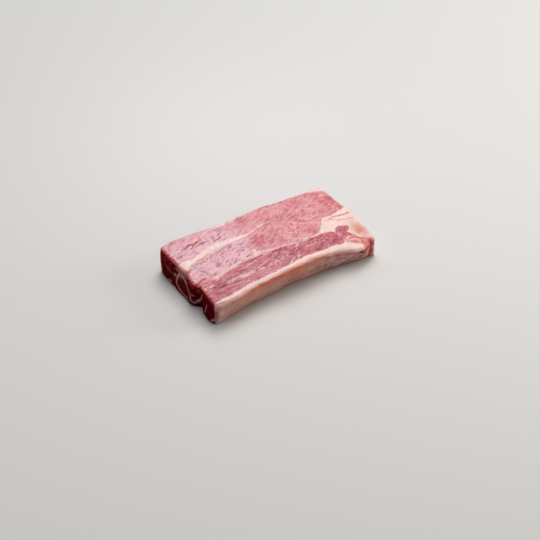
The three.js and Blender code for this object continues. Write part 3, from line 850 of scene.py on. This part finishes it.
def cutFlap(place):
    # takes off what stands above the sloping body of the flap, with a soft edge
    (upperY, upperZ), (lowerY, lowerZ) = flapSlope["upper"], flapSlope["lower"]
    tilt = math.atan2(upperZ - lowerZ, upperY - lowerY)
    facing = np.array([0, -math.sin(tilt), math.cos(tilt)])
    above = (place - (0, upperY, upperZ)) @ facing
    above = (above + np.sqrt(above ** 2 + flapSlope["softness"])) / 2
    shown = smoothStep(place[:, 0], *flapSlope["from"]) * (1 - smoothStep(place[:, 0], *flapSlope["to"]))
    return place - (shown * above)[:, None] * facing


# How high or deep each part of the fine relief is
heights = {
    "bandFibres": 0.3,
    "leftFibres": 0.18,
    "rightFibres": 0.08,
    "paleLines": 0.2,
    "membranes": 0.4,
    "bundles": 1.1,
    "cleftFoot": 2.5,
    "longLumps": 0.4,        # along the near side
    "shortLumps": 0.18,
    "wrinkles": 1.1,
    "flap": 0.6,
    "flapSlot": 1.2,
    "leftRim": 0.75,
    "cleftRidges": 1.2,
    "cleftGaps": (1.8, 1),   # at the rim and further in
    "cleftLip": 1.6,
    "broadLumps": 0.22,      # all over
    "smallLumps": 0.08,
}


def topRelief(x, y, fields):
    # fibres, ridges and gaps of the top, and the body of the flap
    lean = 1 - smoothStep(fields["fatReach"], -0.6, 0.6)
    across = fields["acrossBand"] / mm
    bandFibres = streaks(x, across, 6, 8, 2.4, 31) + 0.6 * streaks(x, across, -4, 4, 1.6, 34)
    coarse = blendTo(2.2, 0.9, smoothStep(x, -75, -35))
    bandFibres = bandFibres * smoothStep(fields["deep"], 0.1, 0.5) * coarse
    leftFibres = streaks(x, y, 26, 5, 2, 32) * fields["lilacAndSheen"]
    rightFibres = streaks(x, y, 60, 6, 2.4, 33) * (1 - fields["lilacAndSheen"]) * (1 - fields["deep"])
    fibres = (heights["bandFibres"] * bandFibres + heights["leftFibres"] * leftFibres
              + heights["rightFibres"] * rightFibres)
    flap = smoothStep(insideOutline(x, y, flapOutline), -0.3, 2) * (1 - between(x, 87, 93.5, 2))
    return (lean * fibres + heights["flap"] * flap
            + heights["cleftRidges"] * onRibbons(x, y, cleftRidges.values(), 0.9)
            - blendTo(*heights["cleftGaps"], smoothStep(x, -97, -90)) * onRibbons(x, y, cleftGaps, 0.6))


def fineRelief(place, outward, skin, fields):
    # fibres, creases and soft lumps that the coarse solid leaves out, outward from the skin
    x, y, z = place.T
    share = skin["share"]
    relief = share["top"] * topRelief(x, y, fields)
    relief = relief - creaseSize["depth"] * fields["creaseShade"] + heights["paleLines"] * fields["paleLineAndHighlight"]

    membranes = smoothStep(fields["fatReach"], -1, 0.5) + fields["paleLineAndHighlight"]
    bundles = sum(bump(np.hypot(y - cy, z - cz), across) for cy, cz, across in endBundles)
    endRelief = heights["membranes"] * membranes + heights["bundles"] * np.clip(bundles, 0, 1)
    relief = relief + share["left"] * endRelief * smoothStep(z, 1, 6)
    foot = bump(y + 23.5, 3.6) * smoothStep(z, -1.5, 3.5) * (1 - smoothStep(z, 4, 20))
    relief = relief - heights["cleftFoot"] * share["left"] * foot

    lumps = heights["longLumps"] * streaks(x, z, -4, 11, 3, 43)
    lumps = lumps + heights["shortLumps"] * streaks(x, z, -8, 4, 1.6, 44)
    wrinkles = between(x, 30, 86, 12) * (heights["wrinkles"] * streaks(x, z, 10, 6, 2.8, 45) - 0.3)
    relief = relief + share["near"] * (lumps + wrinkles * smoothStep(z, 1, 5))
    slot = np.maximum(share["near"] * onRibbons(x, z, [cornerSlot], 0.9),
                      share["top"] * onRibbons(x, y, [flapSlot], 0.8))
    relief = relief - heights["flapSlot"] * slot

    # the left rim is sharper than the block's rounding, and the near one only in its middle
    for side, sharper in enumerate((heights["leftRim"], smoothLine(rimSharpness, x))):
        atRim = 2 * np.abs(np.minimum(outward[:, side], 0) * np.maximum(outward[:, 2], 0))
        relief = relief + sharper * atRim ** 1.5

    # the middle ridge runs out over the rim of the left end, between two notches
    overRim = np.maximum(share["left"], 0.2 * share["top"] * smoothStep(x, -95, -99))
    lip = bump(y + 21.3, 2) * smoothStep(z, 15, 25)
    relief = relief + heights["cleftLip"] * overRim * lip
    overRim = np.maximum(share["left"], 0.5 * share["top"] * smoothStep(x, -96, -100))
    for across, lowest, deepest in rimNotches:
        relief = relief - deepest * overRim * bump(y - across, 1.1) * smoothStep(z, lowest, lowest + 6)
    return (relief + heights["broadLumps"] * softNoise(x / 7, y / 5 + z / 6, 41)
            + heights["smallLumps"] * softNoise(x / 3 + 9, y / 3 + z / 3, 42))


def makeSlab():
    points, faces = blockSkin()
    place, outward = meatForm(points)
    low, high = place.min(axis=0), place.max(axis=0)
    place = pushRims(place)
    mesh = bpy.data.meshes.new("vealBreast")
    mesh.vertices.add(len(place))
    mesh.vertices.foreach_set("co", (place * mm).ravel())
    mesh.loops.add(faces.size)
    mesh.loops.foreach_set("vertex_index", faces.ravel())
    mesh.polygons.add(len(faces))
    mesh.polygons.foreach_set("loop_start", np.arange(0, faces.size, 4))
    mesh.polygons.foreach_set("use_smooth", np.ones(len(faces), bool))
    mesh.update(calc_edges=True)

    normal = np.zeros(place.size)
    mesh.vertices.foreach_get("normal", normal)
    normal = normal.reshape(-1, 3)
    skin = readSkin(place, outward)
    fields = meatFields(place, skin)
    relief = fineRelief(place, outward, skin, fields)
    onGround = place[:, 2] < 1e-6
    place = place + normal * np.where(onGround, 0, relief)[:, None]
    place[:, 2] = np.maximum(place[:, 2], 0)
    place = cutFlap(place)

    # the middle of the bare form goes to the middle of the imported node
    boxLow, boxHigh = (np.array(corner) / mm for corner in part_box("veal_breast"))
    place[:, :2] += ((boxLow + boxHigh) / 2 - (low + high) / 2)[:2]
    mesh.vertices.foreach_set("co", (place * mm).ravel())
    for name, values in fields.items():
        layer = mesh.attributes.new(name, "FLOAT", "POINT")
        layer.data.foreach_set("value", values.astype(np.float32))
    onEnd = fields["endCut"][faces].mean(axis=1) > 0.5
    mesh.polygons.foreach_set("material_index", onEnd.astype(np.int32))
    mesh.update()
    slabObject = bpy.data.objects.new("vealBreast", mesh)
    bpy.context.collection.objects.link(slabObject)
    print("slab:", len(place), "points,", 2 * len(faces), "triangles")
    return slabObject


# Materials

def linearColour(code):
    # an sRGB hex value as the linear colour that a shader takes
    parts = [int(code[n:n + 2], 16) / 255 for n in (1, 3, 5)]
    return [p / 12.92 if p <= 0.04045 else ((p + 0.055) / 1.055) ** 2.4 for p in parts] + [1]


def addNode(tree, kind, inputs, output=None, **settings):
    # adds a shader node, sets or links its inputs and gives back the output that is used next.
    # Inputs 0, 2 and 3 of a Mix are its share and two numbers, and 6 and 7 are two colours.
    node = tree.nodes.new("ShaderNode" + kind)
    node.location = (180 * (len(tree.nodes) % 12), -220 * (len(tree.nodes) // 12))
    for name, value in settings.items():
        setattr(node, name, value)
    for name, value in inputs.items():
        if isinstance(value, bpy.types.NodeSocket):
            tree.links.new(value, node.inputs[name])
        else:
            node.inputs[name].default_value = value
    if output:
        return node.outputs[output]
    return next((socket for socket in node.outputs if socket.enabled), None)


# Raw veal as the knife left it: moist and a little see-through, so its pink lean and cream fat
# look soft, with low, blurred highlights
rawVeal = {
    "salmon": "#d89399",
    # the upper left muscles' paler lilac: partly their own tone and partly a painted cool sheen
    "lilacAndSheen": "#e0b1bc",
    "rose": "#c96872",
    "deep": "#b45066",
    # bright orange-red: the flap's own colour, and a painted glow where light shines through rims and ridges
    "emberAndGlow": "#ffa095",
    # dark red: a painted glow through the left end's rim, and painted shade in gaps, slots and folds
    "redGlowAndShade": "#a01a1c",
    # the left end's dark red: partly its own colour and partly painted shade
    "maroonAndShade": "#560b10",
    "cream": "#f0d1cc",
    "peach": "#d0907d",
    # the near side's fat: a duller tone, partly its own and partly painted shade
    "coverFatAndShade": "#d09789",
    # orange-brown under the near rim: partly the fat's own tan and partly painted shade
    "rimTanAndShade": "#da785c",
    "membrane": "#a3655e",
    "creaseShade": "#9b3c4c",
    # painted shade in creases, slits and gaps
    "fatFoldShade": "#7d5044",
    # painted shade in the folds of the fat on the near side
    "thread": "#f4cbc8",
    "leanShade": "#e3c4ca",     # what the darker fibres multiply the lean's colour by
}

# The knife-cut top and sides are moist. The left end is cut across the fibres and matt; its dark maroon is
# partly its own colour and partly painted shade.
cutFaces = {
    "rawVealKnifeCut": {"specular": 0.3, "coat": 0.06, "smoothest": 0.3, "roughest": 0.46},
    "rawVealEndGrain": {"specular": 0.0, "coat": 0.0, "smoothest": 0.7, "roughest": 0.85},
}

# Light goes about a millimetre into the moist flesh, red light the furthest
moistFlesh = {
    "IOR": 1.38,
    "Subsurface Weight": 0.5,
    "Subsurface Radius": (1.0, 0.3, 0.18),
    "Subsurface Scale": 1.0 * mm,
    "Coat Roughness": 0.3,
    "Coat IOR": 1.33,
}

# Noises: lump size in mm along and across, the angle it runs at, its detail and how much it curls.
# Veal's fibre bundles are 0.5 to 1 mm wide. A pixel of the render shows about 1 mm, so they are
# drawn 2 to 4 mm wide.
grains = {
    "cloud": (13, 9, 15, 3, 0.3),
    "mottle": (3.4, 2.6, 30, 3, 0),
    "bandFibre": (8, 2.6, 0, 3, 0.8),
    "leftFibre": (8, 3, 24, 2, 0.5),
    "rightFibre": (7.5, 4, 20, 2.5, 0.6),
    "fleck": (2.8, 1.7, 35, 2, 0.3),
    "thread": (13, 8, 25, 3, 0.6),
    "wrinkle": (15, 5, 26, 1.5, 0.7),
    "breaks": (11, 7, 20, 1, 0),
    "sideGrain": (8, 3, 0, 4, 0.4),
    "blotch": (8, 5, 0, 3, 0.3),
}

# What is read off them: the noise, the part of its range that is used, what that turns to, and
# whether it stops there
readings = {
    "wander": ("mottle", (0.3, 0.7), (-1.1, 1.1), False),       # of the fat's edge, in mm
    "patches": ("cloud", (0.5, 0.68), (0, 0.55), True),
    "grouped": ("cloud", (0.62, 0.42), (0.3, 1), True),
    "fleck": ("fleck", (0.56, 0.7), (0, 0.75), True),
    "speckled": ("mottle", (0.35, 0.65), (0.95, 1.04), False),
    "broken": ("breaks", (0.49, 0.58), (0, 1), True),
    "blotch": ("blotch", (0.5, 0.68), (0, 0.35), True),
    "sideShade": ("sideGrain", (0.3, 0.7), (0.76, 1.18), False),
    "topShade": ("rightFibre", (0.3, 0.7), (0.88, 1.08), False),
}

# Pale threads and short folds, drawn where a noise crosses its middle value: the noise, how far
# from that value a line starts and stops fading, and its strength
thinLines = {
    "threads": ("thread", 0.0, 0.016, 0.5),
    "folds": ("wrinkle", 0.007, 0.03, 1.0),
}


def meatNoises(tree, field):
    # the noises and what is read off them
    place = addNode(tree, "TexCoord", {}, output="Object")
    alongX = addNode(tree, "SeparateXYZ", {0: place}, output="X")
    alongBand = addNode(tree, "CombineXYZ", {0: alongX, 1: field["acrossBand"], 2: alongX.node.outputs["Z"]})
    grain = {}
    for name, (along, across, angle, detail, curl) in grains.items():
        turned = addNode(tree, "Mapping", {
            "Vector": alongBand if name == "bandFibre" else place,
            "Rotation": (0, 0, math.radians(angle)),
            "Scale": (along * mm, across * mm, across * mm),
        }, vector_type="TEXTURE")
        grain[name] = addNode(tree, "TexNoise", {"Vector": turned, "Scale": 1, "Detail": detail,
                                                 "Distortion": curl})
    reading = {}
    for name, (source, (low, high), (atLow, atHigh), stops) in readings.items():
        reading[name] = addNode(tree, "MapRange", {
            "Value": grain[source], "From Min": low, "From Max": high, "To Min": atLow, "To Max": atHigh,
        }, clamp=stops)
    for name, (source, near, far, strength) in thinLines.items():
        away = addNode(tree, "Math", {0: grain[source], 1: 0.5}, operation="SUBTRACT")
        away = addNode(tree, "Math", {0: away}, operation="ABSOLUTE")
        reading[name] = addNode(tree, "MapRange", {
            "Value": away, "From Min": near, "From Max": far, "To Min": strength, "To Max": 0,
        })
    return grain, reading


def leanColour(tree, tone, field, grain, reading):
    # rosier in cloudy patches, then one tone over another
    patches = addNode(tree, "Math", {0: reading["patches"], 1: field["rose"]}, operation="MAXIMUM")
    lean = addNode(tree, "Mix", {0: patches, 6: tone["salmon"], 7: tone["rose"]}, data_type="RGBA")
    for name, share in (("lilacAndSheen", "lilacAndSheen"), ("deep", "deep"), ("maroonAndShade", "endCut"), ("emberAndGlow", "emberAndGlow"),
                        ("redGlowAndShade", "redGlowAndShade")):
        lean = addNode(tree, "Mix", {0: field[share], 6: lean, 7: tone[name]}, data_type="RGBA")

    # fibres: the noise that runs the right way in each part, darker and paler than the tone;
    # plain in the lower muscle, faint in the upper ones
    fibre = addNode(tree, "Mix", {0: field["lilacAndSheen"], 2: grain["rightFibre"], 3: grain["leftFibre"]})
    fibre = addNode(tree, "Mix", {0: field["deep"], 2: fibre, 3: grain["bandFibre"]})
    plain = addNode(tree, "MapRange", {"Value": field["deep"], "To Min": 0.65, "To Max": 1.25})
    shaded = addNode(tree, "MapRange", {"Value": fibre, "From Min": 0.52, "From Max": 0.34, "To Max": 1.5},
                     clamp=False)
    shaded = addNode(tree, "Math", {0: shaded, 1: 0}, operation="MAXIMUM")
    shaded = addNode(tree, "Math", {0: shaded, 1: plain}, operation="MULTIPLY")
    lean = addNode(tree, "Mix", {0: shaded, 6: lean, 7: tone["leanShade"]}, data_type="RGBA",
                   blend_type="MULTIPLY", clamp_factor=False)
    lit = addNode(tree, "MapRange", {"Value": fibre, "From Min": 0.54, "From Max": 0.72, "To Max": 0.42})
    lit = addNode(tree, "Math", {0: lit, 1: plain}, operation="MULTIPLY")

    # pale threads and flecks, which come in groups, then the lit fibres and the drawn pale lines
    pale = addNode(tree, "Math", {0: reading["threads"], 1: reading["fleck"]}, operation="MAXIMUM")
    pale = addNode(tree, "Math", {0: pale, 1: reading["grouped"]}, operation="MULTIPLY")
    pale = addNode(tree, "Mix", {0: field["lilacAndSheen"], 2: pale, 3: 0})
    pale = addNode(tree, "Math", {0: pale, 1: lit}, operation="MAXIMUM")
    pale = addNode(tree, "Mix", {0: field["endCut"], 2: pale, 3: 0})
    pale = addNode(tree, "Math", {0: pale, 1: field["paleLineAndHighlight"]}, operation="MAXIMUM")
    lean = addNode(tree, "Mix", {0: pale, 6: lean, 7: tone["thread"]}, data_type="RGBA")
    lean = addNode(tree, "VectorMath", {0: lean, "Scale": reading["speckled"]}, operation="SCALE")

    # wrinkles of the skin of the upper left muscles: short slits, painted dark as shade
    folded = reading["folds"]
    for factor in (reading["broken"], field["lilacAndSheen"], 0.85):
        folded = addNode(tree, "Math", {0: folded, 1: factor}, operation="MULTIPLY")
    lean = addNode(tree, "Mix", {0: folded, 6: lean, 7: tone["creaseShade"]}, data_type="RGBA")

    # the height of all this for the bump
    height = addNode(tree, "Math", {0: fibre, 1: plain}, operation="MULTIPLY")
    height = addNode(tree, "Math", {0: grain["mottle"], 1: 0.5, 2: height}, operation="MULTIPLY_ADD")
    height = addNode(tree, "Math", {0: height, 1: folded}, operation="SUBTRACT")
    return lean, height


def fatColour(tree, tone, field, reading):
    # cream on the top; on the near side a duller tone, partly its own and partly painted shade, with pink
    # blotches; brown under its rim, partly painted shade
    fat = tone["cream"]
    blotch = addNode(tree, "Math", {0: reading["blotch"], 1: field["nearSide"]}, operation="MULTIPLY")
    for name, share in (("coverFatAndShade", field["nearSide"]), ("membrane", field["endCut"]),
                        ("peach", field["peach"]), ("rimTanAndShade", field["rimTanAndShade"]), ("rimTanAndShade", blotch)):
        fat = addNode(tree, "Mix", {0: share, 6: fat, 7: tone[name]}, data_type="RGBA")
    shade = addNode(tree, "Mix", {0: field["nearSide"], 2: reading["topShade"], 3: reading["sideShade"]})
    fat = addNode(tree, "VectorMath", {0: fat, "Scale": shade}, operation="SCALE")
    return addNode(tree, "Mix", {0: field["paleLineAndHighlight"], 6: fat, 7: tone["thread"]}, data_type="RGBA")


def makeRawVeal(finish, face):
    material = bpy.data.materials.new(finish)
    material.use_nodes = True
    tree = material.node_tree
    tree.nodes.clear()
    tone = {name: linearColour(value) for name, value in rawVeal.items()}
    field = {name: addNode(tree, "Attribute", {}, output="Fac", attribute_name=name)
             for name in ("fatReach", "creaseShade", "paleLineAndHighlight", "lilacAndSheen", "rose", "deep", "emberAndGlow", "redGlowAndShade",
                          "peach", "rimTanAndShade", "endCut", "nearSide", "acrossBand")}
    grain, reading = meatNoises(tree, field)
    lean, height = leanColour(tree, tone, field, grain, reading)
    fat = fatColour(tree, tone, field, reading)

    edge = addNode(tree, "Math", {0: field["fatReach"], 1: reading["wander"]}, operation="ADD")
    fatShare = addNode(tree, "MapRange", {"Value": edge, "From Min": -1.3, "From Max": 1.9},
                       interpolation_type="SMOOTHSTEP")
    flesh = addNode(tree, "Mix", {0: fatShare, 6: lean, 7: fat}, data_type="RGBA")
    # painted shade in the creases and folds: the flesh goes toward the crease tone, brown on the near side
    dark = addNode(tree, "Math", {0: field["creaseShade"], 1: 0.8}, operation="MULTIPLY")
    creaseShadeTone = addNode(tree, "Mix", {0: field["nearSide"], 6: tone["creaseShade"], 7: tone["fatFoldShade"]},
                         data_type="RGBA")
    flesh = addNode(tree, "Mix", {0: dark, 6: flesh, 7: creaseShadeTone}, data_type="RGBA")
    roughness = addNode(tree, "MapRange", {
        "Value": grain["mottle"], "From Min": 0.35, "From Max": 0.65,
        "To Min": face["smoothest"], "To Max": face["roughest"],
    })
    shader = addNode(tree, "BsdfPrincipled", moistFlesh | {
        "Base Color": flesh,
        "Normal": addNode(tree, "Bump", {"Height": height, "Strength": 0.8, "Distance": 0.5 * mm}),
        "Roughness": roughness,
        "Specular IOR Level": face["specular"],
        "Coat Weight": face["coat"],
    })
    addNode(tree, "OutputMaterial", {"Surface": shader})
    return material


# Floor, lights and camera

# Matt wall paint: an even pale grey that takes soft shadows and shows no highlights
floorPaint = {"colour": "#d4d4d3", "roughness": 0.8, "reach": 4.0, "below": 0.0002}


def makeFloor():
    mesh = bpy.data.meshes.new("floor")
    reach, level = floorPaint["reach"], -floorPaint["below"]
    corners = [(-reach, -reach, level), (reach, -reach, level), (reach, reach, level), (-reach, reach, level)]
    mesh.from_pydata(corners, [], [(0, 1, 2, 3)])
    floor = bpy.data.objects.new("floor", mesh)
    bpy.context.collection.objects.link(floor)
    material = bpy.data.materials.new("paleMattPaint")
    material.use_nodes = True
    shader = material.node_tree.nodes["Principled BSDF"]
    shader.inputs["Base Color"].default_value = linearColour(floorPaint["colour"])
    shader.inputs["Roughness"].default_value = floorPaint["roughness"]
    mesh.materials.append(material)


# Softboxes that all point at the middle of the slab: place and size in metres, power in watts
softboxes = {
    "behindRight": {"at": (0.8, 0.8, 1.9), "size": (1.3, 1.3), "watts": 31.2, "colour": "#fffdf9"},
    "overhead": {"at": (0.0, 0.0, 2.2), "size": (1.0, 1.0), "watts": 13, "colour": "#fffbf6"},
    "sheen": {"at": (0.10, 0.27, 0.29), "size": (0.12, 0.12), "watts": 0.15, "colour": "#dfe6ff"},
    "rightFill": {"at": (1.2, -0.45, 0.5), "size": (0.6, 0.6), "watts": 6.5, "colour": "#fff8f0"},
    "leftFill": {"at": (-1.3, 0.1, 0.45), "size": (0.6, 0.6), "watts": 1.5, "colour": "#f4f6ff"},
}
room = {"colour": "#f4f6fa", "strength": 0.14}


def makeLights():
    for name, box in softboxes.items():
        light = bpy.data.lights.new(name, "AREA")
        light.shape = "RECTANGLE"
        light.size, light.size_y = box["size"]
        light.energy = box["watts"]
        light.color = linearColour(box["colour"])[:3]
        lamp = bpy.data.objects.new(name, light)
        lamp.location = box["at"]
        lamp.rotation_euler = Vector(box["at"]).to_track_quat("Z", "Y").to_euler()
        bpy.context.collection.objects.link(lamp)
    world = bpy.data.worlds.new("room")
    world.use_nodes = True
    background = world.node_tree.nodes["Background"]
    background.inputs["Color"].default_value = linearColour(room["colour"])
    background.inputs["Strength"].default_value = room["strength"]
    bpy.context.scene.world = world


# A long lens that looks down from the left over the near side: mm, degrees and metres
view = {
    "lens": 120,
    "sensor": 36,
    "azimuth": -33.3,
    "elevation": 38.9,
    "distance": 1.921,
    "target": (-0.0057, -0.0106, 0.0),
}


def makeCamera():
    camera = bpy.data.cameras.new("camera")
    camera.lens, camera.sensor_width = view["lens"], view["sensor"]
    turn, tilt = math.radians(view["azimuth"]), math.radians(view["elevation"])
    back = Vector((math.sin(turn) * math.cos(tilt), -math.cos(turn) * math.cos(tilt), math.sin(tilt)))
    eye = bpy.data.objects.new("camera", camera)
    eye.location = Vector(view["target"]) + back * view["distance"]
    eye.rotation_euler = back.to_track_quat("Z", "Y").to_euler()
    bpy.context.collection.objects.link(eye)
    bpy.context.scene.camera = eye


makeCamera()
makeLights()
makeFloor()
print("stage: camera, lights and floor are in place")

breast = makeSlab()
for name, face in cutFaces.items():
    breast.data.materials.append(makeRawVeal(name, face))
    print("material:", name)
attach(breast, "root")
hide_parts("veal_breast")

bpy.context.scene.view_settings.view_transform = "Standard"
